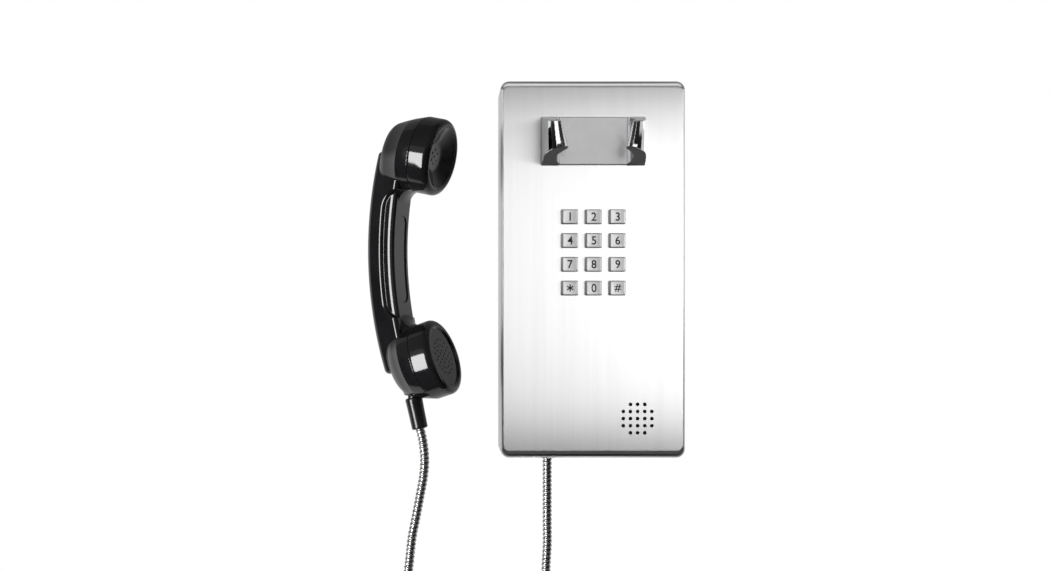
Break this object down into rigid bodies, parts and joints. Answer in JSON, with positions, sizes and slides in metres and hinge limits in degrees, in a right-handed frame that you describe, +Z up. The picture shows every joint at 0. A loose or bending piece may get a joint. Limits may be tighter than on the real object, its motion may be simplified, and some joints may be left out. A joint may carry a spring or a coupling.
{
  "type": "wall telephone",
  "caption": "Vandal-resistant wall telephone: folded steel housing with a cast cradle, metal keypad and speaker grille, and a black handset on an armoured cord.",
  "frame": {"origin": "centre of the wall bolt pattern, on the wall face of the back plate", "axes": "+X to the right as the caller sees it, +Y into the wall, +Z up"},
  "size_m": [0.2565, 0.0988, 0.5933],
  "materials": {
    "housing_steel": "vertical brushed grain",
    "plate_steel": "mill finish sheet",
    "seal_rubber": "matt",
    "screw_steel": "bright stainless",
    "zinc_steel": "zinc plated",
    "cradle_chrome": "mirror chrome on a zinc casting",
    "key_metal": "satin chrome on a zinc casting, filled figures",
    "cast_zinc": "raw zinc casting",
    "mat_silicone": "translucent silicone",
    "circuit_board": "solder mask",
    "board_plastic": "moulded",
    "terminal_plastic": "moulded",
    "reed_glass": "clear",
    "speaker_mesh": "woven dust screen",
    "speaker_steel": "passivated",
    "speaker_paper": "treated paper",
    "magnet_ferrite": "sintered",
    "gland_steel": "turned stainless",
    "cord_armour": "interlocked stainless armour",
    "boot_rubber": "smooth, slightly glossy",
    "handset_plastic": "polished black moulding",
    "cap_plastic": "polished black moulding",
    "capsule_metal": "spun can",
    "lead_red": "insulated leads"
  },
  "bodies": {
    "root": {"housing": "housing_steel", "back_plate": "plate_steel", "housing_seal": "seal_rubber", "security_screws": "screw_steel", "security_nuts": "zinc_steel", "cradle": "cradle_chrome", "cradle_gasket": "seal_rubber", "cradle_screws": "zinc_steel", "hook_board": "circuit_board", "reed_switch": "reed_glass", "keypad_frame": "cast_zinc", "dome_mat": "mat_silicone", "keypad_board": "circuit_board", "keypad_backing": "zinc_steel", "panel_studs": "zinc_steel", "panel_nuts": "zinc_steel", "speaker_screen": "speaker_mesh", "speaker_gasket": "seal_rubber", "speaker_basket": "speaker_steel", "speaker_cone": "speaker_paper", "speaker_magnet": "magnet_ferrite", "main_board": "circuit_board", "board_standoffs": "zinc_steel", "board_screws": "zinc_steel", "line_transformer": "board_plastic", "terminal_block": "terminal_plastic", "board_parts": "board_plastic", "earth_stud": "zinc_steel", "earth_nut": "zinc_steel", "line_grommet": "seal_rubber", "cord_gland": "gland_steel", "gland_nut": "zinc_steel", "housing_leads": "lead_red"},
    "armoured_cord": {"cord_bush": "gland_steel", "cord": "cord_armour", "boot": "boot_rubber"},
    "handset": {"handset_body": "handset_plastic", "ear_cap": "cap_plastic", "mouth_cap": "cap_plastic", "receiver": "capsule_metal", "receiver_seal": "seal_rubber", "hook_magnet": "magnet_ferrite", "microphone": "capsule_metal", "mic_holder": "seal_rubber", "handset_lead": "lead_red"},
    "key_1": {"key_1": "key_metal"},
    "key_2": {"key_2": "key_metal"},
    "key_3": {"key_3": "key_metal"},
    "key_4": {"key_4": "key_metal"},
    "key_5": {"key_5": "key_metal"},
    "key_6": {"key_6": "key_metal"},
    "key_7": {"key_7": "key_metal"},
    "key_8": {"key_8": "key_metal"},
    "key_9": {"key_9": "key_metal"},
    "key_star": {"key_star": "key_metal"},
    "key_0": {"key_0": "key_metal"},
    "key_hash": {"key_hash": "key_metal"}
  },
  "joints": [
    {"name": "cord_swing", "type": "hinge", "parent": "root", "child": "armoured_cord", "pos_m": [-0.035, -0.03, -0.148], "axis": [0, 0, 1], "range_deg": [0, 60]},
    {"name": "handset_swivel", "type": "hinge", "parent": "armoured_cord", "child": "handset", "pos_m": [-0.144, -0.044, -0.095], "axis": [0, 0, 1], "range_deg": [-90, 90]},
    {"name": "press_1", "type": "slide", "parent": "root", "child": "key_1", "axis": [0, 1, 0], "range_m": [0, 0.0008], "stiffness_N_per_m": 2500, "deforming": ["dome_mat"]},
    {"name": "press_2", "type": "slide", "parent": "root", "child": "key_2", "axis": [0, 1, 0], "range_m": [0, 0.0008], "stiffness_N_per_m": 2500, "deforming": ["dome_mat"]},
    {"name": "press_3", "type": "slide", "parent": "root", "child": "key_3", "axis": [0, 1, 0], "range_m": [0, 0.0008], "stiffness_N_per_m": 2500, "deforming": ["dome_mat"]},
    {"name": "press_4", "type": "slide", "parent": "root", "child": "key_4", "axis": [0, 1, 0], "range_m": [0, 0.0008], "stiffness_N_per_m": 2500, "deforming": ["dome_mat"]},
    {"name": "press_5", "type": "slide", "parent": "root", "child": "key_5", "axis": [0, 1, 0], "range_m": [0, 0.0008], "stiffness_N_per_m": 2500, "deforming": ["dome_mat"]},
    {"name": "press_6", "type": "slide", "parent": "root", "child": "key_6", "axis": [0, 1, 0], "range_m": [0, 0.0008], "stiffness_N_per_m": 2500, "deforming": ["dome_mat"]},
    {"name": "press_7", "type": "slide", "parent": "root", "child": "key_7", "axis": [0, 1, 0], "range_m": [0, 0.0008], "stiffness_N_per_m": 2500, "deforming": ["dome_mat"]},
    {"name": "press_8", "type": "slide", "parent": "root", "child": "key_8", "axis": [0, 1, 0], "range_m": [0, 0.0008], "stiffness_N_per_m": 2500, "deforming": ["dome_mat"]},
    {"name": "press_9", "type": "slide", "parent": "root", "child": "key_9", "axis": [0, 1, 0], "range_m": [0, 0.0008], "stiffness_N_per_m": 2500, "deforming": ["dome_mat"]},
    {"name": "press_star", "type": "slide", "parent": "root", "child": "key_star", "axis": [0, 1, 0], "range_m": [0, 0.0008], "stiffness_N_per_m": 2500, "deforming": ["dome_mat"]},
    {"name": "press_0", "type": "slide", "parent": "root", "child": "key_0", "axis": [0, 1, 0], "range_m": [0, 0.0008], "stiffness_N_per_m": 2500, "deforming": ["dome_mat"]},
    {"name": "press_hash", "type": "slide", "parent": "root", "child": "key_hash", "axis": [0, 1, 0], "range_m": [0, 0.0008], "stiffness_N_per_m": 2500, "deforming": ["dome_mat"]}
  ]
}
